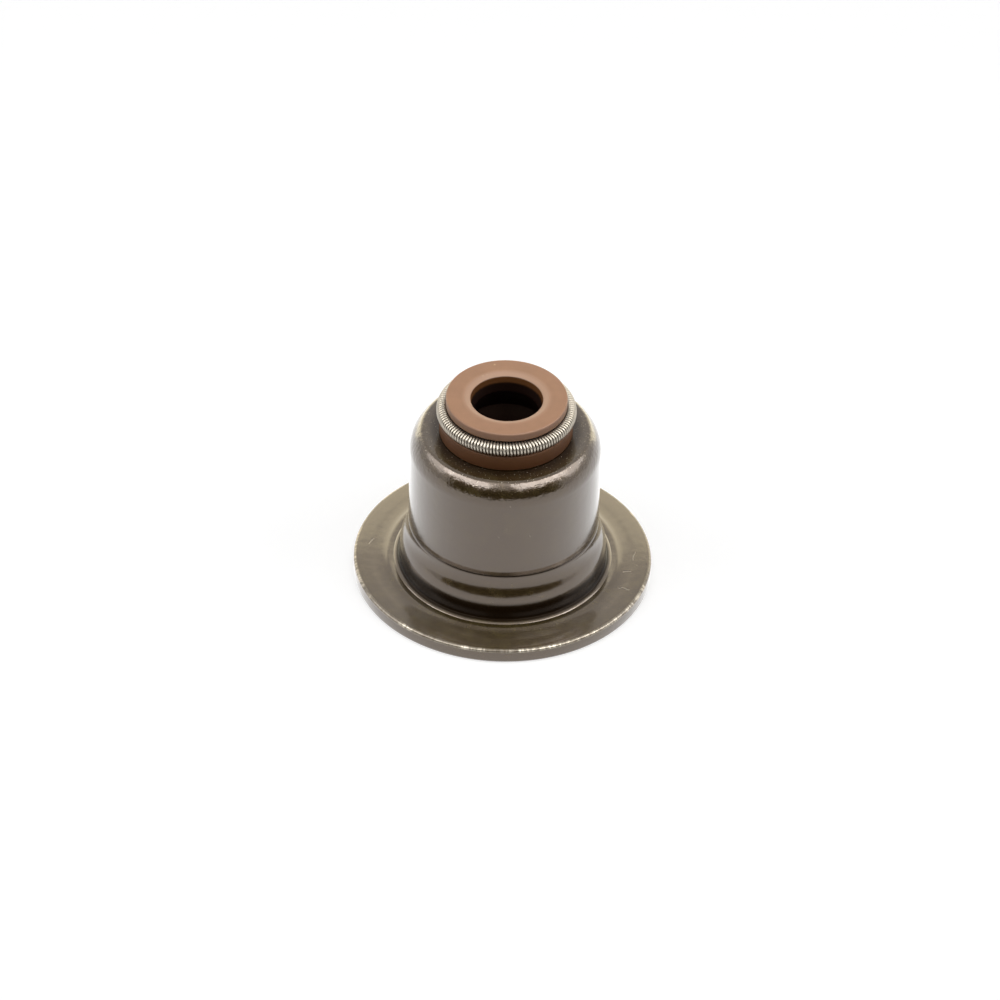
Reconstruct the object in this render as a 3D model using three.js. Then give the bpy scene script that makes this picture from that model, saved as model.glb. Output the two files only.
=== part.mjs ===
// Valve stem seal with its own spring seat: a drawn steel case with a flange, a moulded rubber seal that is
// bonded into it, and a garter spring round the seal's lip.
// Millimetres, +Z up. The origin is on the axis, in the plane of the flange's underside.

import * as THREE from 'three';

// Spring seat flange
const flangeRadius = 15.5;
const flangeThickness = 1.6;
const rimRound = 0.3;
const footRingHeight = 0.08;
const footRingWidth = 1.2;
const rampWidth = 0.9;
const footFillet = 0.3;
const undersideBend = 1.9;

// Drawn case
const caseRadius = 9.84;
const caseHeight = 18.2;
const caseWall = 1.0;
const skirtStep = 0.9;
const stepHeight = 6.6;
const stepSlope = 26;
const stepHollowRound = 3.6;
const stepOuterRound = 4.5;
const shoulderRadius = 3.25;
const shoulderSweep = 47;
const crestRadius = 0.62;
const topHoleRadius = 6.2;

// Seal above the case: collar, spring groove and lip
const collarRadius = 6.85;
const collarHeight = 1.735;
const collarEdgeRound = 0.25;
const lipAboveSpring = 1.7;
const lipRadius = 6.22;
const lipEdgeRound = 0.2;
const mouthRadius = 3.72;
const mouthChamfer = 0.6;
const mouthChamferDepth = 0.22;
const neckRadius = 3.64;
const neckDepth = 0.85;
const stemLipRadius = 3.3;
const stemLipDepth = 1.8;

// Seal inside the case: chamber, back lip and the socket that grips the valve guide
const mouldGap = 0.3;
const chamberRadius = 4.4;
const chamberDepth = 4.3;
const backLipRadius = 3.4;
const backLipDepth = 5.9;
const backLipWidth = 0.5;
const chamberWall = 0.6;
const guideStopDepth = 8.6;
const guideRadius = 6.3;
const guideRibs = 3;
const guideRibHeight = 0.25;
const guideRibWidth = 1.3;
const guideLead = 1.0;
const sealFoot = 2.6;

// Garter spring
const springRadius = 6.45;
const coilRadius = 0.73;
const coilTurns = 127;
const wireDiameter = 0.26;
const grooveClearance = 0.13;
const collarClearance = 0.035;

// Fineness of the round forms
const turnedSegments = 48;
const stepsPerTurn = 8;
const wireSides = 3;

const { degToRad, radToDeg } = THREE.MathUtils;

// Heights that build up from the case's top: the collar, the spring that lies over it, the lip and, measured
// down from the lip's top, the stop for the valve guide.
const collarTop = caseHeight + collarHeight;
const springHeight = collarTop + collarClearance + coilRadius;
const sealTop = springHeight + lipAboveSpring;
const guideStop = sealTop - guideStopDepth;

// Centres of the rounds that the shoulder is made of. The large one ends where the crest's round begins.
const sweep = degToRad(shoulderSweep);
const shoulderCentre = at(
  caseRadius - shoulderRadius,
  caseHeight - crestRadius - (shoulderRadius - crestRadius) * Math.sin(sweep),
);
const crestCentre = at(
  shoulderCentre.x + (shoulderRadius - crestRadius) * Math.cos(sweep),
  caseHeight - crestRadius,
);

// The shoulder's inner side, a wall's thickness inside the large round, ends at the flat of the top.
const innerSweep = radToDeg(Math.asin(
  (crestRadius - caseWall + (shoulderRadius - crestRadius) * Math.sin(sweep)) / (shoulderRadius - caseWall),
));

// A point of an outline: its distance from the axis and its height.
function at(radius, height) {
  return new THREE.Vector2(radius, height);
}

// A round stretch of an outline, between angles counted from outward (0) towards up (90).
function arc(centre, radius, from, to, steps) {
  const points = [];
  for (let i = 0; i <= steps; i += 1) {
    const angle = degToRad(from + (to - from) * i / steps);
    points.push(at(centre.x + radius * Math.cos(angle), centre.y + radius * Math.sin(angle)));
  }
  return points;
}

// Turns a closed outline about the axis. The outline runs upwards on its outer side.
function turned(outline) {
  const geometry = new THREE.LatheGeometry([...outline, outline[0]], turnedSegments);
  geometry.rotateX(Math.PI / 2);
  return geometry;
}

// The step where the case widens into its skirt, from below: an outer round, a cone and a hollow round.
// inset gives the parallel surface that lies so far inside the case's outer side.
function stepOutline(inset) {
  const sharpRound = 0.05;
  const hollowRound = stepHollowRound + inset;
  const outerRound = Math.max(stepOuterRound - inset, sharpRound);
  const slopeWhereRoundsMeet = radToDeg(Math.acos(Math.max(1 - skirtStep / (hollowRound + outerRound), 0)));
  const slope = Math.min(stepSlope, slopeWhereRoundsMeet);
  const tilt = degToRad(slope);
  const hollow = arc(at(caseRadius + stepHollowRound, stepHeight), hollowRound, 180 + slope, 180, 4);
  const roundCentreRadius = caseRadius + skirtStep - inset - outerRound;
  const coneWidth = roundCentreRadius + outerRound * Math.cos(tilt) - hollow[0].x;
  const roundCentreHeight = hollow[0].y - coneWidth / Math.tan(tilt) - outerRound * Math.sin(tilt);
  return [...arc(at(roundCentreRadius, roundCentreHeight), outerRound, 0, slope, 4), ...hollow];
}

function caseGeometry() {
  const skirtRadius = caseRadius + skirtStep;
  const bendCentre = at(skirtRadius - caseWall + undersideBend, undersideBend);
  const footCentre = at(skirtRadius + footFillet, flangeThickness + footRingHeight + footFillet);
  const rampTop = at(footCentre.x + footRingWidth, flangeThickness + footRingHeight);
  return turned([
    ...arc(at(flangeRadius - rimRound, rimRound), rimRound, 270, 360, 2),
    ...arc(at(flangeRadius - rimRound, flangeThickness - rimRound), rimRound, 0, 90, 3),
    at(rampTop.x + rampWidth, flangeThickness),
    rampTop,
    ...arc(footCentre, footFillet, 270, 180, 3),
    ...stepOutline(0),
    ...arc(shoulderCentre, shoulderRadius, 0, shoulderSweep, 5),
    ...arc(crestCentre, crestRadius, shoulderSweep, 90, 3).slice(1),
    at(topHoleRadius, caseHeight),
    at(topHoleRadius, caseHeight - caseWall),
    ...arc(shoulderCentre, shoulderRadius - caseWall, innerSweep, 0, 3),
    ...stepOutline(caseWall).reverse(),
    ...arc(bendCentre, undersideBend, 180, 270, 4),
  ]);
}

// The seal's outer side inside the case, which keeps the mould gap to the wall and bears on the case's top.
function liningOutline() {
  const inset = caseWall + mouldGap;
  const shoulder = arc(shoulderCentre, shoulderRadius - inset, 0, shoulderSweep, 3);
  const shelfHeight = caseHeight - caseWall;
  return [
    at(caseRadius + skirtStep - inset, sealFoot),
    ...stepOutline(inset),
    ...shoulder,
    at(shoulder[shoulder.length - 1].x - mouldGap, shelfHeight),
    at(topHoleRadius - mouldGap, shelfHeight),
  ];
}

function collarOutline() {
  return [
    at(topHoleRadius - mouldGap, caseHeight),
    at(collarRadius - collarEdgeRound, caseHeight),
    at(collarRadius, caseHeight + collarEdgeRound),
    at(collarRadius, collarTop - collarEdgeRound),
    at(collarRadius - collarEdgeRound, collarTop),
  ];
}

// The groove that the spring lies in, a round a little wider than the coil, from the collar up to the lip.
function grooveOutline() {
  const round = coilRadius + grooveClearance;
  const lowerAngle = 180 + radToDeg(Math.asin(Math.min((springHeight - collarTop) / round, 1)));
  const upperAngle = radToDeg(Math.acos((lipRadius - springRadius) / round));
  return arc(at(springRadius, springHeight), round, lowerAngle, upperAngle, 7);
}

// Round ribs that grip the valve guide, spread evenly from its stop down to the lead.
function guideRibOutline() {
  const ribs = [];
  const pitch = (guideStop - sealFoot - guideLead) / guideRibs;
  for (let i = 0; i < guideRibs; i += 1) {
    const middle = guideStop - (i + 0.5) * pitch;
    ribs.push(at(guideRadius, middle + guideRibWidth / 2));
    ribs.push(at(guideRadius - guideRibHeight, middle));
    ribs.push(at(guideRadius, middle - guideRibWidth / 2));
  }
  return ribs;
}

function sealGeometry() {
  const backLipHeight = sealTop - backLipDepth;
  return turned([
    ...liningOutline(),
    ...collarOutline(),
    ...grooveOutline(),
    ...arc(at(lipRadius - lipEdgeRound, sealTop - lipEdgeRound), lipEdgeRound, 0, 90, 2),
    at(mouthRadius + mouthChamfer, sealTop),
    at(mouthRadius, sealTop - mouthChamferDepth),
    at(neckRadius, sealTop - neckDepth),
    at(stemLipRadius, sealTop - stemLipDepth),
    at(chamberRadius, sealTop - chamberDepth),
    at(backLipRadius, backLipHeight + backLipWidth / 2),
    at(backLipRadius, backLipHeight - backLipWidth / 2),
    at(chamberRadius, guideStop + chamberWall),
    at(chamberRadius, guideStop),
    at(guideRadius, guideStop),
    ...guideRibOutline(),
    at(guideRadius, sealFoot + guideLead),
    at(guideRadius + guideLead, sealFoot),
  ]);
}

// The centre line of the spring's wire: a helix bent round into a closed ring.
class CoilRing extends THREE.Curve {
  getPoint(t, target = new THREE.Vector3()) {
    const round = t * 2 * Math.PI;
    const turn = round * coilTurns;
    const wireRadius = coilRadius - wireDiameter / 2;
    const radius = springRadius + wireRadius * Math.cos(turn);
    const height = springHeight - wireRadius * Math.sin(turn);
    return target.set(radius * Math.cos(round), radius * Math.sin(round), height);
  }
}

function springGeometry() {
  const wire = new CoilRing();
  const steps = coilTurns * stepsPerTurn;
  wire.arcLengthDivisions = steps * 3;
  return new THREE.TubeGeometry(wire, steps, wireDiameter / 2, wireSides, true);
}

function colour(red, green, blue) {
  return new THREE.Color().setRGB(red / 255, green / 255, blue / 255, THREE.SRGBColorSpace);
}

const oliveCoat = new THREE.MeshStandardMaterial({
  color: colour(112, 101, 82),
  roughness: 0.3,
  metalness: 0.85,
});
const brownRubber = new THREE.MeshStandardMaterial({
  color: colour(168, 130, 104),
  roughness: 0.62,
  metalness: 0,
});
const springWire = new THREE.MeshStandardMaterial({
  color: colour(196, 186, 170),
  roughness: 0.28,
  metalness: 1,
});

function piece(name, geometry, material) {
  const mesh = new THREE.Mesh(geometry, material);
  mesh.name = name;
  return mesh;
}

const valveStemSeal = new THREE.Group();
valveStemSeal.name = 'valve_stem_seal';
valveStemSeal.add(piece('steel_case', caseGeometry(), oliveCoat));
valveStemSeal.add(piece('rubber_seal', sealGeometry(), brownRubber));
valveStemSeal.add(piece('garter_spring', springGeometry(), springWire));

export default valveStemSeal;
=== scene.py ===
import math

import bpy
import numpy as np
from mathutils import Matrix, Vector


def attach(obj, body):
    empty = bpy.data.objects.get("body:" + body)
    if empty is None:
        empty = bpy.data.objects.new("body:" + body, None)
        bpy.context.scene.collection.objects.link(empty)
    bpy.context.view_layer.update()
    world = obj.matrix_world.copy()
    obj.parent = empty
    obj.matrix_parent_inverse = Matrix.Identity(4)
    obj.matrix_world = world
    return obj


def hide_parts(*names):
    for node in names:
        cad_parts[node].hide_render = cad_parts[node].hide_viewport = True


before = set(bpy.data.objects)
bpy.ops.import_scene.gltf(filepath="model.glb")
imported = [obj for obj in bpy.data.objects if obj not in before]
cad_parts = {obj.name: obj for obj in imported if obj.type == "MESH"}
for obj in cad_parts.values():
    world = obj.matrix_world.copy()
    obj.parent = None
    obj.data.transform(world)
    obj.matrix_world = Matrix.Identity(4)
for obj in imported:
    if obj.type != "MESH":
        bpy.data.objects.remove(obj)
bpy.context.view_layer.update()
print("CAD frame loaded")

# Lengths in the dictionaries below are millimetres, angles are degrees. Meshes are made in metres.
mm = 0.001

caseValues = dict(
    flangeRadius=15.5, flangeThickness=1.6, rimRound=0.3, footFillet=0.3, undersideBend=1.9,
    footRingWidth=1.2, footRingHeight=0.16, rampWidth=0.9, grooveDepth=0.03,
    toolMarkRadius=12.05, toolMarkHeight=0.08,
    caseRadius=9.84, caseHeight=18.2, wall=1.0,
    skirtStep=0.9, stepHeight=6.6, stepSlope=26, hollowRound=3.6, outerRound=4.5, smallestRound=0.05,
    creaseDepth=0.07, creaseHeights=(0.02, 0.13, 0.26),
    shoulderRadius=3.25, shoulderSweep=47, crestRadius=0.62, topHoleRadius=6.2,
    edgeRound=0.12, longestStretch=0.6, segments=320)

sealValues = dict(
    collarRadius=6.85, collarHeight=1.735, collarRound=0.28, collarFoot=0.1,
    lipRadius=6.22, lipRound=0.16, lipAboveSpring=1.7,
    mouthRadius=3.72, chamferWidth=0.6, chamferDepth=0.22, neckRadius=3.64, neckDepth=0.85,
    stemLipRadius=3.3, stemLipDepth=1.8,
    chamberRadius=4.4, chamberDepth=4.3, backLipRadius=3.4, backLipDepth=5.9, backLipWidth=0.5,
    chamberWall=0.6, guideStopDepth=8.6, guideRadius=6.3, guideRibs=3, ribHeight=0.25, ribWidth=1.3,
    guideLead=1.0, foot=2.6, mouldGap=0.3, grooveClearance=0.13,
    edgeRound=0.09, longestStretch=0.6, segments=256)

# unevenness is how far the turns drift from even spacing, in slow and fast waves round the ring
springValues = dict(
    ringRadius=6.45, coilRadius=0.73, wire=0.26, collarClearance=0.035, turns=127,
    stepsPerTurn=24, sides=8, unevenness=0.12, waves=(3, 5, 9, 17, 31, 44), seed=7)

collarTop = caseValues["caseHeight"] + sealValues["collarHeight"]
springHeight = collarTop + springValues["collarClearance"] + springValues["coilRadius"]
sealTop = springHeight + sealValues["lipAboveSpring"]


# Outlines are lists of (radius, height).

def arcPoints(centre, radius, start, end, steps):
    points = []
    for i in range(steps + 1):
        angle = math.radians(start + (end - start) * i / steps)
        points.append((centre[0] + radius * math.cos(angle), centre[1] + radius * math.sin(angle)))
    return points


def roundedCorner(before, corner, after, radius, steps=5):
    # replaces a corner by a small round that touches both of its sides
    a = Vector(before) - Vector(corner)
    b = Vector(after) - Vector(corner)
    reach = min(a.length, b.length) * 0.49
    half = a.angle(b) / 2
    cut = min(radius / math.tan(half), reach)
    radius = cut * math.tan(half)
    a.normalize()
    b.normalize()
    centre = Vector(corner) + (a + b).normalized() * (radius / math.sin(half))
    first = Vector(corner) + a * cut - centre
    last = Vector(corner) + b * cut - centre
    turn = first.angle_signed(last)
    points = []
    for i in range(steps + 1):
        angle = -turn * i / steps
        x = first.x * math.cos(angle) - first.y * math.sin(angle)
        y = first.x * math.sin(angle) + first.y * math.cos(angle)
        points.append((centre.x + x, centre.y + y))
    return points


def softened(outline, radius):
    # outline items are (radius, height) or (radius, height, True) where the corner gets a small round
    points = []
    count = len(outline)
    for i, item in enumerate(outline):
        if len(item) == 3:
            points += roundedCorner(outline[i - 1][:2], item[:2], outline[(i + 1) % count][:2], radius)
        else:
            points.append(item)
    return points


def divided(outline, longest):
    # adds points on long straight stretches, so that the mesh can be shaped between its corners
    points = []
    count = len(outline)
    for i, start in enumerate(outline):
        end = outline[(i + 1) % count]
        length = math.hypot(end[0] - start[0], end[1] - start[1])
        pieces = max(1, math.ceil(length / longest))
        for k in range(pieces):
            share = k / pieces
            points.append((start[0] + (end[0] - start[0]) * share, start[1] + (end[1] - start[1]) * share))
    return points


def shoulderRounds():
    # centres of the shoulder's large round and of the crest's, then the inner round and how far it sweeps
    v = caseValues
    sweep = math.radians(v["shoulderSweep"])
    drop = v["shoulderRadius"] - v["crestRadius"]
    crestHeight = v["caseHeight"] - v["crestRadius"]
    large = (v["caseRadius"] - v["shoulderRadius"], crestHeight - drop * math.sin(sweep))
    crest = (large[0] + drop * math.cos(sweep), crestHeight)
    inner = v["shoulderRadius"] - v["wall"]
    rise = v["crestRadius"] - v["wall"] + drop * math.sin(sweep)
    return large, crest, inner, math.degrees(math.asin(rise / inner))


shoulderCentre, crestCentre, innerRound, innerSweep = shoulderRounds()


def stepOutline(inset, steps):
    # the step where the case widens into its skirt, from below
    v = caseValues
    hollow = v["hollowRound"] + inset
    outer = max(v["outerRound"] - inset, v["smallestRound"])
    meeting = math.degrees(math.acos(max(1 - v["skirtStep"] / (hollow + outer), 0)))
    slope = min(v["stepSlope"], meeting)
    tilt = math.radians(slope)
    hollowCentre = (v["caseRadius"] + v["hollowRound"], v["stepHeight"])
    hollowArc = arcPoints(hollowCentre, hollow, 180 + slope, 180, steps)
    outerCentreRadius = v["caseRadius"] + v["skirtStep"] - inset - outer
    coneWidth = outerCentreRadius + outer * math.cos(tilt) - hollowArc[0][0]
    outerCentreHeight = hollowArc[0][1] - coneWidth / math.tan(tilt) - outer * math.sin(tilt)
    return arcPoints((outerCentreRadius, outerCentreHeight), outer, 0, slope, steps) + hollowArc


def caseOutline():
    v = caseValues
    skirt = v["caseRadius"] + v["skirtStep"]
    bendCentre = (skirt - v["wall"] + v["undersideBend"], v["undersideBend"])
    rim = v["flangeRadius"] - v["rimRound"]
    lower = arcPoints((rim, v["rimRound"]), v["rimRound"], 270, 360, 6)
    upper = arcPoints((rim, v["flangeThickness"] - v["rimRound"]), v["rimRound"], 0, 90, 8)
    outline = lower + upper
    # two low rings that the drawing tool left round the foot, with a fine groove outside them
    top, mark = v["flangeThickness"], v["toolMarkRadius"]
    markTop, ringTop = top + v["toolMarkHeight"], top + v["footRingHeight"]
    outer = mark + v["footRingWidth"] / 2
    groove = (outer + v["rampWidth"] * 0.6, top - v["grooveDepth"])
    outline += [(outer + v["rampWidth"], top), groove, (outer, top)]
    outline += [(mark + 0.12, top + 0.01), (mark, markTop), (mark - 0.25, markTop)]
    foot = skirt + v["footFillet"]
    outline += [(foot + 0.3, top + 0.03), (foot + 0.16, ringTop - 0.01), (foot + 0.06, ringTop)]
    outline += arcPoints((foot, ringTop + v["footFillet"]), v["footFillet"], 262, 180, 14)
    # a crease where the wall runs into the step
    start, deepest, end = [v["stepHeight"] + height for height in v["creaseHeights"]]
    outline += stepOutline(0, 10)[:-1] + [(v["caseRadius"], start)]
    outline += [(v["caseRadius"] - v["creaseDepth"], deepest), (v["caseRadius"], end)]
    outline += arcPoints(shoulderCentre, v["shoulderRadius"], 0, v["shoulderSweep"], 26)
    outline += arcPoints(crestCentre, v["crestRadius"], v["shoulderSweep"], 90, 14)[1:]
    outline += [(v["topHoleRadius"], v["caseHeight"], True),
                (v["topHoleRadius"], v["caseHeight"] - v["wall"], True)]
    outline += arcPoints(shoulderCentre, innerRound, innerSweep, 0, 10)
    outline += stepOutline(v["wall"], 6)[::-1]
    outline += arcPoints(bendCentre, v["undersideBend"], 180, 270, 10)
    return divided(softened(outline, v["edgeRound"]), v["longestStretch"])


def sealOutline():
    v = caseValues
    s = sealValues
    inset = v["wall"] + s["mouldGap"]
    shelf = v["caseHeight"] - v["wall"]
    neck = v["topHoleRadius"] - s["mouldGap"]
    shoulder = arcPoints(shoulderCentre, v["shoulderRadius"] - inset, 0, v["shoulderSweep"], 8)
    outline = [(v["caseRadius"] + v["skirtStep"] - inset, s["foot"], True)]
    outline += stepOutline(inset, 5) + shoulder
    outline += [(shoulder[-1][0] - s["mouldGap"], shelf), (neck, shelf)]
    # collar
    collar, corner, chamfer = s["collarRadius"], s["collarRound"], s["collarFoot"]
    base = v["caseHeight"]
    outline += [(neck, base), (collar - chamfer, base), (collar, base + chamfer)]
    outline += arcPoints((collar - corner, collarTop - corner), corner, 0, 90, 7)
    # groove for the spring
    groove = springValues["coilRadius"] + s["grooveClearance"]
    ring = springValues["ringRadius"]
    low = 180 + math.degrees(math.asin(min((springHeight - collarTop) / groove, 1)))
    high = math.degrees(math.acos((s["lipRadius"] - ring) / groove))
    outline += arcPoints((ring, springHeight), groove, low, high, 22)
    # lip and the stem's way
    corner = s["lipRound"]
    outline += arcPoints((s["lipRadius"] - corner, sealTop - corner), corner, 0, 90, 7)
    outline += [
        (s["mouthRadius"] + s["chamferWidth"], sealTop, True),
        (s["mouthRadius"], sealTop - s["chamferDepth"], True),
        (s["neckRadius"], sealTop - s["neckDepth"], True),
        (s["stemLipRadius"], sealTop - s["stemLipDepth"], True),
        (s["chamberRadius"], sealTop - s["chamberDepth"], True),
        (s["backLipRadius"], sealTop - s["backLipDepth"] + s["backLipWidth"] / 2, True),
        (s["backLipRadius"], sealTop - s["backLipDepth"] - s["backLipWidth"] / 2, True)]
    stop = sealTop - s["guideStopDepth"]
    outline += [(s["chamberRadius"], stop + s["chamberWall"]), (s["chamberRadius"], stop, True),
                (s["guideRadius"], stop)]
    pitch = (stop - s["foot"] - s["guideLead"]) / s["guideRibs"]
    for i in range(s["guideRibs"]):
        middle = stop - (i + 0.5) * pitch
        outline += [(s["guideRadius"], middle + s["ribWidth"] / 2, True),
                    (s["guideRadius"] - s["ribHeight"], middle, True),
                    (s["guideRadius"], middle - s["ribWidth"] / 2, True)]
    outline += [(s["guideRadius"], s["foot"] + s["guideLead"]),
                (s["guideRadius"] + s["guideLead"], s["foot"], True)]
    return divided(softened(outline, s["edgeRound"]), s["longestStretch"])


def newPiece(name, points, faces, sharpAngle):
    mesh = bpy.data.meshes.new(name)
    mesh.from_pydata(points, [], faces)
    mesh.validate()
    mesh.polygons.foreach_set("use_smooth", [True] * len(mesh.polygons))
    mesh.set_sharp_from_angle(angle=math.radians(sharpAngle))
    mesh.update()
    piece = bpy.data.objects.new(name, mesh)
    bpy.context.scene.collection.objects.link(piece)
    return piece


def turnedPiece(name, outline, segments):
    # turns a closed outline, which runs upwards on its outer side, about the Z axis
    rings = len(outline)
    points = []
    for i in range(segments):
        angle = 2 * math.pi * i / segments
        c, s = math.cos(angle), math.sin(angle)
        points += [(r * c * mm, r * s * mm, z * mm) for r, z in outline]
    faces = []
    for i in range(segments):
        here, there = i * rings, (i + 1) % segments * rings
        for k in range(rings):
            n = (k + 1) % rings
            faces.append((here + k, there + k, there + n, here + n))
    return newPiece(name, points, faces, sharpAngle=40)


def coiledSpring(name):
    v = springValues
    steps = v["turns"] * v["stepsPerTurn"]
    share = np.arange(steps) / steps
    around = share * 2 * math.pi
    # the turns aren't spaced quite evenly
    drift = np.zeros(steps)
    rng = np.random.default_rng(v["seed"])
    for wave in v["waves"]:
        drift += rng.normal() * np.sin(wave * around + rng.uniform(0, 2 * math.pi)) / wave ** 0.5
    turn = around * v["turns"] + drift * v["unevenness"]
    wireRadius = v["wire"] / 2
    coil = v["coilRadius"] - wireRadius
    outward = np.stack([np.cos(around), np.sin(around), np.zeros(steps)], 1)
    up = np.array([0.0, 0.0, 1.0])
    normal = outward * np.cos(turn)[:, None] - up * np.sin(turn)[:, None]
    centre = outward * v["ringRadius"] + up * springHeight + normal * coil
    tangent = np.roll(centre, -1, 0) - np.roll(centre, 1, 0)
    tangent /= np.linalg.norm(tangent, axis=1)[:, None]
    normal -= tangent * (normal * tangent).sum(1)[:, None]
    normal /= np.linalg.norm(normal, axis=1)[:, None]
    side = np.cross(tangent, normal)
    points = []
    for k in range(v["sides"]):
        angle = 2 * math.pi * k / v["sides"]
        points.append(centre + (normal * math.cos(angle) + side * math.sin(angle)) * wireRadius)
    points = np.stack(points, 1).reshape(-1, 3) * mm
    faces = []
    for i in range(steps):
        here, there = i * v["sides"], (i + 1) % steps * v["sides"]
        for k in range(v["sides"]):
            n = (k + 1) % v["sides"]
            faces.append((here + k, here + n, there + n, there + k))
    return newPiece(name, points.tolist(), faces, sharpAngle=60)


class Nodes:
    # a short way to add and join nodes of one material
    def __init__(self, name):
        self.material = bpy.data.materials.new(name)
        self.material.use_nodes = True
        self.tree = self.material.node_tree
        self.shader = self.tree.nodes["Principled BSDF"]

    def put(self, kind, **settings):
        node = self.tree.nodes.new(kind)
        for key, value in settings.items():
            setattr(node, key, value)
        return node

    def feed(self, socket, value):
        if isinstance(value, bpy.types.NodeSocket):
            self.tree.links.new(value, socket)
        else:
            socket.default_value = value

    def math(self, operation, a, b=0.0, c=0.0, clamp=False):
        node = self.put("ShaderNodeMath", operation=operation, use_clamp=clamp)
        for socket, value in zip(node.inputs, (a, b, c)):
            self.feed(socket, value)
        return node.outputs[0]

    def mix(self, share, a, b):
        node = self.put("ShaderNodeMix", data_type="RGBA")
        self.feed(node.inputs["Factor"], share)
        self.feed(node.inputs[6], a)
        self.feed(node.inputs[7], b)
        return node.outputs[2]

    def length(self, x, y):
        squares = self.math("ADD", self.math("MULTIPLY", x, x), self.math("MULTIPLY", y, y))
        return self.math("SQRT", squares)

    def ramp(self, value, low, high):
        # 0 at low and 1 at high, which may also be below it
        node = self.put("ShaderNodeMapRange", interpolation_type="SMOOTHSTEP")
        self.feed(node.inputs[0], value)
        node.inputs[1].default_value = low
        node.inputs[2].default_value = high
        return node.outputs[0]

    def noise(self, place, scale, detail=3.0, roughness=0.55):
        node = self.put("ShaderNodeTexNoise")
        self.feed(node.inputs["Vector"], place)
        node.inputs["Scale"].default_value = scale
        node.inputs["Detail"].default_value = detail
        node.inputs["Roughness"].default_value = roughness
        return node.outputs[0]

    def bump(self, height, strength, depth, before=None):
        node = self.put("ShaderNodeBump")
        node.inputs["Strength"].default_value = strength
        node.inputs["Distance"].default_value = depth * mm
        self.feed(node.inputs["Height"], height)
        if before:
            self.feed(node.inputs["Normal"], before)
        return node.outputs[0]

    def place(self):
        # the object's own coordinates in millimetres, and the distance from the axis
        coordinates = self.put("ShaderNodeTexCoord").outputs["Object"]
        scaled = self.put("ShaderNodeVectorMath", operation="SCALE")
        self.feed(scaled.inputs[0], coordinates)
        scaled.inputs["Scale"].default_value = 1 / mm
        parts = self.put("ShaderNodeSeparateXYZ")
        self.feed(parts.inputs[0], scaled.outputs[0])
        x, y, z = parts.outputs
        return scaled.outputs[0], x, y, z, self.length(x, y)


# the scales are of the noise that each mark follows, the depths are in millimetres
# the darkest coat colour and the dulled reflection tint below are painted shade for the corner under the
# collar, the case's foot and the crease; the flange's share is painted light; the worn colour is partly a
# painted highlight on the rim
coatValues = dict(
    coat=(0.032, 0.020, 0.006), coatLight=(0.064, 0.047, 0.016), paintedShade=(0.012, 0.006, 0.002),
    tint=(1.0, 0.73, 0.55), reflectionShadeTint=(0.06, 0.05, 0.04), wearAndPaintedLight=(0.64, 0.58, 0.47), scratch=(0.50, 0.45, 0.36),
    ior=1.627, roughness=0.22, roughnessSpread=0.06, wornRoughness=0.34, clearCoatRoughness=0.09,
    mottleScale=0.8, mottleShare=0.6, paintedFlangeLight=0.4, cornerShare=0.85, creaseShare=0.7,
    hatchScale=3.2, nickScale=0.35, crestSpeckScale=5.5, wallSpeckScale=3.1, scratchShare=0.55,
    grainScale=9.0, grainDepth=0.02, waveScale=1.1, waveDepth=0.08,
    dentScale=2.3, dentDepth=0.12, hatchDepth=0.05)

# scratches on the flange: start, end and width
scratches = [
    ((12.6, -2.3), (13.4, -2.2), 0.09),
    ((12.1, -4.9), (13.2, -5.2), 0.08),
    ((13.5, -0.4), (13.8, 0.9), 0.07),
    ((-13.9, 1.2), (-13.5, 2.0), 0.08),
    ((-9.2, 10.1), (-8.4, 10.9), 0.08)]


def flangeScratches(n, x, y, z):
    # fine lines in the coat, each as the distance from a straight stretch that wavers a little
    place = n.put("ShaderNodeCombineXYZ")
    for socket, value in zip(place.inputs, (x, y, z)):
        n.feed(socket, value)
    waver = n.math("MULTIPLY", n.math("SUBTRACT", n.noise(place.outputs[0], 1.4, 2.0), 0.5), 0.5)
    x = n.math("ADD", x, waver)
    y = n.math("ADD", y, waver)
    marks = 0.0
    for (startX, startY), (endX, endY), width in scratches:
        alongX, alongY = endX - startX, endY - startY
        length = alongX ** 2 + alongY ** 2
        fromX = n.math("SUBTRACT", x, startX)
        fromY = n.math("SUBTRACT", y, startY)
        part = n.math("ADD", n.math("MULTIPLY", fromX, alongX), n.math("MULTIPLY", fromY, alongY))
        part = n.math("DIVIDE", part, length, clamp=True)
        acrossX = n.math("SUBTRACT", fromX, n.math("MULTIPLY", part, alongX))
        acrossY = n.math("SUBTRACT", fromY, n.math("MULTIPLY", part, alongY))
        marks = n.math("MAXIMUM", marks, n.ramp(n.length(acrossX, acrossY), width, width * 0.3))
    return n.math("MULTIPLY", marks, n.ramp(z, 1.3, 1.5))


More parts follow.
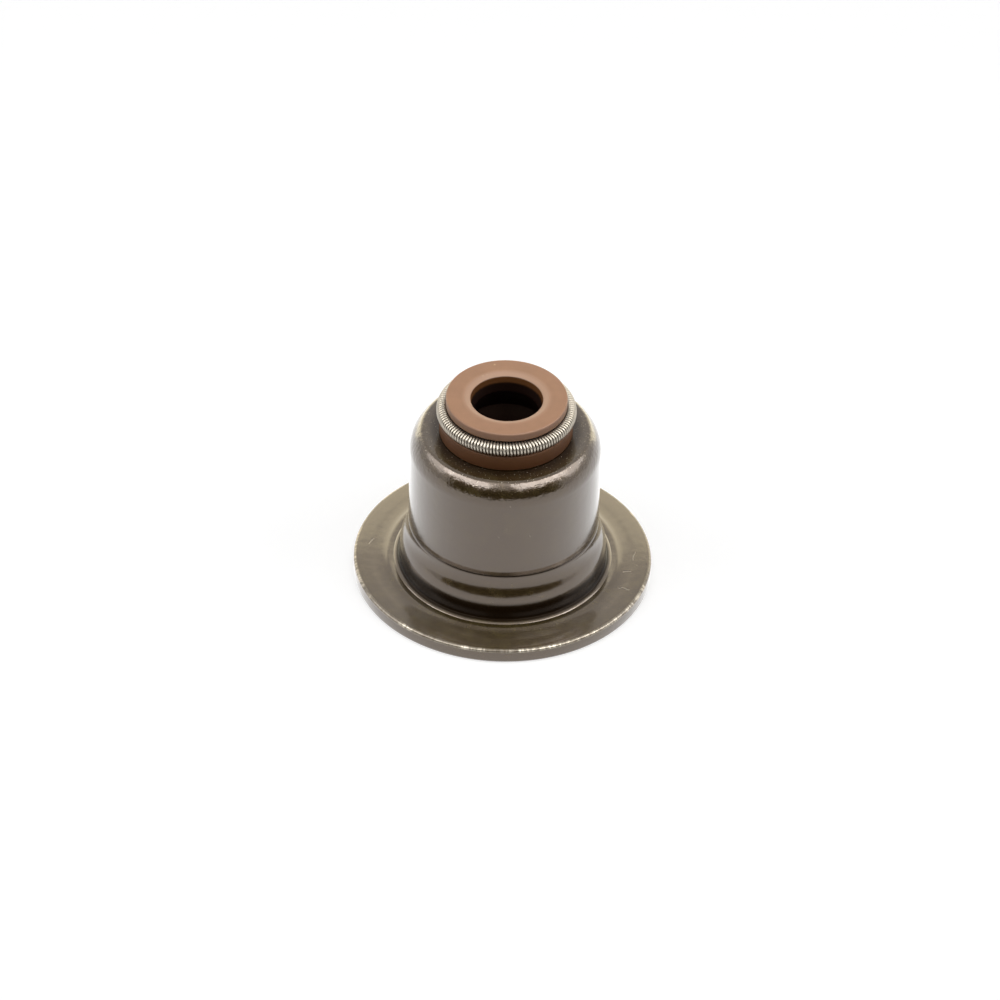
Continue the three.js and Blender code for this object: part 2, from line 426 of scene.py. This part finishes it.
def oliveCoat():
    v = coatValues
    n = Nodes("olive_coat")
    place, x, y, z, radius = n.place()
    around = n.math("ARCTAN2", y, x)
    mottle = n.noise(place, v["mottleScale"], 2.0, 0.5)
    grain = n.noise(place, v["grainScale"], 3.0, 0.6)
    # the flange's coat is painted lighter than the wall's, as painted light for the brighter light the flange
    # catches
    flange = n.math("MULTIPLY", n.ramp(radius, 10.9, 11.4), v["paintedFlangeLight"])
    patchesAndFlangeLight = n.math("MULTIPLY_ADD", n.ramp(mottle, 0.42, 0.72), v["mottleShare"], flange)
    colour = n.mix(patchesAndFlangeLight, (*v["coat"], 1), (*v["coatLight"], 1))
    # painted shade: darker in the corner under the collar, at the case's foot and in the crease, where shade
    # falls
    corner = n.math("MULTIPLY", n.ramp(radius, 8.3, 7.1), n.ramp(z, 17.6, 18.0))
    outside = n.math("MULTIPLY", n.ramp(radius, 10.3, 10.5), n.ramp(z, 1.65, 1.8))
    foot = n.math("MULTIPLY", outside, n.ramp(z, 3.95, 3.3))
    foot = n.math("MULTIPLY", foot, n.ramp(radius, 11.1, 10.95))
    paintedShadeMask = n.math("MAXIMUM", foot, n.math("MULTIPLY", corner, v["cornerShare"]))
    low, high = caseValues["stepHeight"], caseValues["stepHeight"] + 0.3
    crease = n.math("MULTIPLY", n.ramp(z, low - 0.1, low + 0.05), n.ramp(z, high, high - 0.12))
    crease = n.math("MULTIPLY", crease, n.ramp(radius, 9.3, 9.6))
    paintedShadeMask = n.math("MAXIMUM", paintedShadeMask, n.math("MULTIPLY", crease, v["creaseShare"]))
    colour = n.mix(paintedShadeMask, colour, (*v["paintedShade"], 1))
    # the flange's top edge is rubbed through here and there, in short strokes across it; the bright bare
    # metal there is partly wear and partly a painted highlight along the rounded rim
    strokes = n.put("ShaderNodeCombineXYZ")
    n.feed(strokes.inputs[0], n.math("MULTIPLY", around, caseValues["flangeRadius"]))
    n.feed(strokes.inputs[1], n.math("MULTIPLY", radius, 0.35))
    hatch = n.noise(strokes.outputs[0], v["hatchScale"], 2.0, 0.6)
    edge = n.math("MULTIPLY", n.ramp(radius, 15.1, 15.32), n.ramp(z, 1.2, 1.42))
    nicks = n.ramp(n.noise(place, v["nickScale"], 4.0, 0.65), 0.42, 0.62)
    nicks = n.math("MULTIPLY_ADD", nicks, 0.55, 0.3)
    strokes = n.math("MULTIPLY_ADD", n.ramp(hatch, 0.35, 0.62), 0.6, 0.4)
    rubbedAndPaintedHighlight = n.math("MULTIPLY", edge, n.math("MULTIPLY", nicks, strokes))
    # small specks of bare metal round the shoulder's crest, and a few on the wall
    crest = n.math("MULTIPLY", n.ramp(radius, 9.6, 9.0), n.ramp(z, 16.6, 17.4))
    specks = n.ramp(n.noise(place, v["crestSpeckScale"], 2.0, 0.5), 0.66, 0.72)
    specks = n.math("MULTIPLY", specks, crest)
    wallSpecks = n.ramp(n.noise(place, v["wallSpeckScale"], 2.0, 0.5), 0.755, 0.785)
    wallSpecks = n.math("MULTIPLY", wallSpecks, n.ramp(radius, 9.6, 9.7))
    specks = n.math("MAXIMUM", specks, n.math("MULTIPLY", wallSpecks, 0.7))
    # bare metal from the specks and the rubbed rim; the rim's part is partly a painted highlight
    bareAndPaintedHighlight = n.math("MAXIMUM", rubbedAndPaintedHighlight, n.math("MULTIPLY", specks, 0.5))
    colour = n.mix(bareAndPaintedHighlight, colour, (*v["wearAndPaintedLight"], 1))
    scratched = n.math("MULTIPLY", flangeScratches(n, x, y, z), v["scratchShare"])
    colour = n.mix(scratched, colour, (*v["scratch"], 1))
    n.feed(n.shader.inputs["Base Color"], colour)
    n.feed(n.shader.inputs["Metallic"], bareAndPaintedHighlight)
    # painted shade in the reflections: in the corners, at the foot and in the crease there is no clear coat
    # and hardly a reflection
    reflectionShade = n.math("MAXIMUM", foot, n.math("MULTIPLY", corner, 0.6))
    reflectionShade = n.math("MAXIMUM", reflectionShade, n.math("MULTIPLY", crease, 0.35))
    n.feed(n.shader.inputs["Coat Weight"], n.math("SUBTRACT", 1.0, reflectionShade))
    n.feed(n.shader.inputs["Specular Tint"], n.mix(reflectionShade, (*v["tint"], 1), (*v["reflectionShadeTint"], 1)))
    spread = n.math("MULTIPLY_ADD", n.math("SUBTRACT", mottle, 0.5), v["roughnessSpread"], v["roughness"])
    n.feed(n.shader.inputs["Roughness"],
           n.math("MULTIPLY_ADD", bareAndPaintedHighlight, v["wornRoughness"] - v["roughness"], spread))
    n.shader.inputs["IOR"].default_value = v["ior"]
    n.shader.inputs["Coat Roughness"].default_value = v["clearCoatRoughness"]
    # the shoulder is a little beaten from drawing, the rest nearly smooth
    shoulder = n.math("MULTIPLY", n.ramp(z, 15.4, 16.6), n.ramp(radius, 7.6, 8.4))
    beaten = n.math("MULTIPLY", n.noise(place, v["dentScale"], 3.0, 0.55), shoulder)
    surface = n.bump(beaten, 0.3, v["dentDepth"])
    surface = n.bump(n.noise(place, v["waveScale"], 3.0, 0.5), 0.12, v["waveDepth"], surface)
    surface = n.bump(n.math("MULTIPLY", hatch, edge), 0.5, v["hatchDepth"], surface)
    surface = n.bump(grain, 0.12, v["grainDepth"], surface)
    n.feed(n.shader.inputs["Normal"], surface)
    n.feed(n.shader.inputs["Coat Normal"], surface)
    return n.material


# spots are the pale specks on the lip's top: x, y and size
# the side, collar, wall and inside colours and the collar and mouth tints below are painted shade
rubberValues = dict(
    base=(0.365, 0.19, 0.105), baseSpread=1.1, pale=(0.50, 0.30, 0.195),
    side=(0.62, 0.60, 0.58), collar=(0.27, 0.20, 0.12), wall=(0.15, 0.06, 0.02), inside=(0.008, 0.003, 0.002),
    spot=(0.72, 0.55, 0.30), spots=[(-1.34, 5.3, 0.11), (-2.5, 3.4, 0.12), (-2.1, 3.65, 0.08)],
    collarTint=(0.45, 0.35, 0.28), mouthTint=(0.05, 0.04, 0.03), roughness=0.5, roughnessSpread=0.16,
    cloudScale=0.55, cloudDepth=0.1, grainScale=14.0, grainDepth=0.03, fleckScale=5.0, fleckShare=0.3)


def brownRubber():
    v = rubberValues
    n = Nodes("brown_rubber")
    place, x, y, z, radius = n.place()
    cloud = n.noise(place, v["cloudScale"], 4.0, 0.6)
    grain = n.noise(place, v["grainScale"], 4.0, 0.65)
    fleck = n.noise(place, v["fleckScale"], 3.0, 0.6)
    lighter = [c * v["baseSpread"] for c in v["base"]]
    colour = n.mix(n.ramp(cloud, 0.3, 0.7), (*v["base"], 1), (*lighter, 1))
    flecks = n.math("MULTIPLY", n.ramp(fleck, 0.62, 0.72), v["fleckShare"])
    colour = n.mix(flecks, colour, (*v["pale"], 1))
    for spotX, spotY, size in v["spots"]:
        distance = n.length(n.math("SUBTRACT", x, spotX), n.math("SUBTRACT", y, spotY))
        distance = n.math("ADD", distance, n.math("MULTIPLY", fleck, 0.25))
        spot = n.ramp(distance, size + 0.2, size)
        spot = n.math("MULTIPLY", spot, n.ramp(z, sealTop - 0.5, sealTop - 0.3))
        colour = n.mix(n.math("MULTIPLY", spot, 0.6), colour, (*v["spot"], 1))
    # painted shade: the lip's side and the collar are darker, as shade falls on them
    side = n.ramp(z, sealTop - 0.05, sealTop - 0.25)
    shade = n.mix(side, (1, 1, 1, 1), (*v["side"], 1))
    below = n.ramp(z, springHeight, springHeight - 0.6)
    shade = n.mix(below, shade, (*v["collar"], 1))
    wearAndPaintedLight = n.put("ShaderNodeMix", data_type="RGBA", blend_type="MULTIPLY")
    wearAndPaintedLight.inputs["Factor"].default_value = 1.0
    n.feed(wearAndPaintedLight.inputs[6], colour)
    n.feed(wearAndPaintedLight.inputs[7], shade)
    # the moulded edge of the mouth is pale; its wall is painted dark and the chamber behind it painted black,
    # as painted shade where little light gets in
    mouth = n.math("MULTIPLY", n.ramp(radius, 4.75, 4.0), n.ramp(z, sealTop - 0.4, sealTop - 0.2))
    colour = n.mix(mouth, wearAndPaintedLight.outputs[2], (*v["pale"], 1))
    inner = n.ramp(radius, 5.6, 5.4)
    wall = n.math("MULTIPLY", inner, n.ramp(z, sealTop - 0.2, sealTop - 0.42))
    colour = n.mix(wall, colour, (*v["wall"], 1))
    deep = n.math("MULTIPLY", inner, n.ramp(z, sealTop - 0.75, sealTop - 1.05))
    colour = n.mix(deep, colour, (*v["inside"], 1))
    n.feed(n.shader.inputs["Base Color"], colour)
    # painted shade in the reflections too: the collar's and the mouth wall's reflections are tinted darker
    gleam = n.mix(below, (1, 1, 1, 1), (*v["collarTint"], 1))
    n.feed(n.shader.inputs["Specular Tint"], n.mix(wall, gleam, (*v["mouthTint"], 1)))
    spread = v["roughnessSpread"]
    n.feed(n.shader.inputs["Roughness"], n.math("MULTIPLY_ADD", grain, spread, v["roughness"] - spread / 2))
    surface = n.bump(cloud, 0.2, v["cloudDepth"])
    surface = n.bump(grain, 0.25, v["grainDepth"], surface)
    n.feed(n.shader.inputs["Normal"], surface)
    return n.material


wireValues = dict(
    colour=(0.42, 0.38, 0.32), darker=0.86, roughness=0.36, roughnessSpread=0.14,
    toneScale=3.0, drawnScale=30.0, drawnDepth=0.01)


def stainlessWire():
    v = wireValues
    n = Nodes("stainless_wire")
    place = n.place()[0]
    tone = n.noise(place, v["toneScale"], 3.0, 0.6)
    darker = [c * v["darker"] for c in v["colour"]]
    colour = n.mix(n.ramp(tone, 0.35, 0.65), (*darker, 1), (*v["colour"], 1))
    n.feed(n.shader.inputs["Base Color"], colour)
    n.shader.inputs["Metallic"].default_value = 1.0
    spread = v["roughnessSpread"]
    n.feed(n.shader.inputs["Roughness"], n.math("MULTIPLY_ADD", tone, spread, v["roughness"] - spread / 2))
    drawn = n.noise(place, v["drawnScale"], 2.0, 0.6)
    n.feed(n.shader.inputs["Normal"], n.bump(drawn, 0.15, v["drawnDepth"]))
    return n.material


steelCase = turnedPiece("case_steel", caseOutline(), caseValues["segments"])
steelCase.data.materials.append(oliveCoat())
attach(steelCase, "root")
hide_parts("steel_case")
print("case made", len(steelCase.data.polygons))

rubberSeal = turnedPiece("seal_rubber", sealOutline(), sealValues["segments"])
rubberSeal.data.materials.append(brownRubber())
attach(rubberSeal, "root")
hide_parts("rubber_seal")
print("seal made", len(rubberSeal.data.polygons))

garterSpring = coiledSpring("spring_coil")
garterSpring.data.materials.append(stainlessWire())
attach(garterSpring, "root")
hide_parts("garter_spring")
print("spring made", len(garterSpring.data.polygons))


# floorSize, flagDistance and aim, the point that the lamps face, are in metres
studioValues = dict(
    floorSize=6.0, floorColour=0.5, floorGlow=0.62, glossyGlow=1.0, shadeRadius=15.3, shadeFade=2,
    worldLight=0.08, flagDistance=0.25, flagWidth=128, flagTop=34, flagColour=(0.01, 0.008, 0.006),
    aim=(0, 0, 0.01))


def whiteGlow(nodes, cameraStrength, glossyStrength):
    # how strongly a white surface glows for the camera, and for reflections and refractions
    rays = nodes.put("ShaderNodeLightPath")
    seen = nodes.math("MULTIPLY", rays.outputs["Is Camera Ray"], cameraStrength)
    mirrored = nodes.math("MAXIMUM", rays.outputs["Is Glossy Ray"], rays.outputs["Is Transmission Ray"])
    return nodes.math("MULTIPLY_ADD", mirrored, glossyStrength, seen)


def paleFloor():
    v = studioValues
    half = v["floorSize"] / 2
    points = [(-half, -half, 0), (half, -half, 0), (half, half, 0), (-half, half, 0)]
    floor = newPiece("floor", points, [(0, 1, 2, 3)], sharpAngle=30)
    n = Nodes("white_floor")
    n.shader.inputs["Base Color"].default_value = (v["floorColour"],) * 3 + (1,)
    n.shader.inputs["Roughness"].default_value = 0.9
    n.shader.inputs["Specular IOR Level"].default_value = 0.1
    n.shader.inputs["Emission Color"].default_value = (1, 1, 1, 1)
    # no glow under the object, where the floor lies in its shade
    radius = n.place()[4]
    unshaded = n.ramp(radius, v["shadeRadius"] - v["shadeFade"], v["shadeRadius"])
    glow = whiteGlow(n, v["floorGlow"], v["glossyGlow"])
    n.feed(n.shader.inputs["Emission Strength"], n.math("MULTIPLY", glow, unshaded))
    floor.data.materials.append(n.material)


def softWorld():
    v = studioValues
    world = bpy.data.worlds.new("studio")
    bpy.context.scene.world = world
    world.use_nodes = True
    tree = world.node_tree
    rays = tree.nodes.new("ShaderNodeLightPath")
    seen = tree.nodes.new("ShaderNodeMath")
    seen.operation = "MAXIMUM"
    tree.links.new(rays.outputs["Is Camera Ray"], seen.inputs[0])
    tree.links.new(rays.outputs["Is Glossy Ray"], seen.inputs[1])
    clear = tree.nodes.new("ShaderNodeMath")
    clear.operation = "MAXIMUM"
    tree.links.new(seen.outputs[0], clear.inputs[0])
    tree.links.new(rays.outputs["Is Transmission Ray"], clear.inputs[1])
    level = tree.nodes.new("ShaderNodeMapRange")
    level.inputs[3].default_value = v["worldLight"]
    level.inputs[4].default_value = 1.0
    tree.links.new(clear.outputs[0], level.inputs[0])
    background = tree.nodes["Background"]
    background.inputs[0].default_value = (1, 1, 1, 1)
    tree.links.new(level.outputs[0], background.inputs[1])


def towards(azimuth, elevation, distance):
    # azimuth 0 is the camera's side, positive to the right
    a, e = math.radians(azimuth), math.radians(elevation)
    direction = Vector((math.sin(a) * math.cos(e), -math.cos(a) * math.cos(e), math.sin(e)))
    return Vector(studioValues["aim"]) + direction * distance


def darkFlag():
    # a black card on the camera's side. Only reflections show it: it stands for the dark room there
    v = studioValues
    points = []
    steps = 40
    topDistance = v["flagDistance"] / math.cos(math.radians(v["flagTop"]))
    for i in range(steps + 1):
        azimuth = v["flagWidth"] * (i / steps - 0.5)
        points.append(towards(azimuth, 0, v["flagDistance"]))
        points.append(towards(azimuth, v["flagTop"], topDistance))
    faces = [(2 * i, 2 * i + 2, 2 * i + 3, 2 * i + 1) for i in range(steps)]
    flag = newPiece("flag_front", points, faces, sharpAngle=30)
    n = Nodes("flag_black")
    n.shader.inputs["Base Color"].default_value = (*v["flagColour"], 1)
    n.shader.inputs["Roughness"].default_value = 1.0
    n.shader.inputs["Specular IOR Level"].default_value = 0.0
    flag.data.materials.append(n.material)
    flag.visible_camera = False
    flag.visible_diffuse = False
    flag.visible_shadow = False
    flag.visible_transmission = False


# The softboxes make the highlights, the fills and the top light bring out the colours. Each lamp: azimuth,
# elevation, distance in metres, width and height as angles seen from the object, brightness of its face, what
# it lights, and its colour.
white = (1, 1, 1)
lamps = dict(
    softboxLeft=(-52, 45, 0.4, 50, 21, 6.0, "glossy", white),
    softboxRight=(52, 47, 0.4, 50, 26, 6.0, "glossy", white),
    sideLeft=(-95, 32, 0.45, 30, 26, 2.6, "glossy", white),
    sideRight=(95, 35, 0.45, 34, 34, 3.2, "glossy", white),
    back=(180, 13, 0.06, 100, 40, 1.5, "glossy", (1.0, 0.90, 0.58)),
    fillLeft=(-80, 38, 0.5, 40, 30, 2.0, "diffuse", white),
    fillRight=(80, 38, 0.5, 40, 30, 2.0, "diffuse", white),
    overhead=(0, 60, 0.5, 44, 26, 1.0, "glossy", white),
    topLight=(0, 80, 0.5, 60, 60, 1.7, "diffuse", white))


def studioLamps():
    for name, (azimuth, elevation, distance, width, height, level, use, colour) in lamps.items():
        light = bpy.data.lights.new(name, "AREA")
        light.shape = "RECTANGLE"
        light.size = 2 * distance * math.tan(math.radians(width / 2))
        light.size_y = 2 * distance * math.tan(math.radians(height / 2))
        light.energy = level * math.pi * light.size * light.size_y
        light.color = colour
        holder = bpy.data.objects.new(name, light)
        bpy.context.scene.collection.objects.link(holder)
        holder.visible_diffuse = use == "diffuse"
        holder.visible_glossy = use == "glossy"
        holder.location = towards(azimuth, elevation, distance)
        facing = Vector(studioValues["aim"]) - holder.location
        holder.rotation_euler = facing.to_track_quat("-Z", "Y").to_euler()


paleFloor()
softWorld()
darkFlag()
studioLamps()
print("floor, flag and lamps placed")


cameraValues = dict(
    elevation=38.95, roll=1.53, distance=620.0, target=(-0.416, 0.0, 8.866), lens=216.1, sensor=36)


def photoCamera():
    v = cameraValues
    e, roll = math.radians(v["elevation"]), math.radians(v["roll"])
    forward = Vector((0, math.cos(e), -math.sin(e)))
    level = Vector((1, 0, 0))
    upward = level.cross(forward)
    right = level * math.cos(roll) + upward * math.sin(roll)
    top = upward * math.cos(roll) - level * math.sin(roll)
    camera = bpy.data.cameras.new("camera")
    camera.lens = v["lens"]
    camera.sensor_width = v["sensor"]
    camera.clip_start = 0.01
    holder = bpy.data.objects.new("camera", camera)
    bpy.context.scene.collection.objects.link(holder)
    turn = Matrix((right, top, -forward)).transposed().to_4x4()
    position = (Vector(v["target"]) - forward * v["distance"]) * mm
    holder.matrix_world = Matrix.Translation(position) @ turn
    bpy.context.scene.camera = holder


photoCamera()
bpy.context.scene.view_settings.view_transform = "Standard"
print("camera placed")
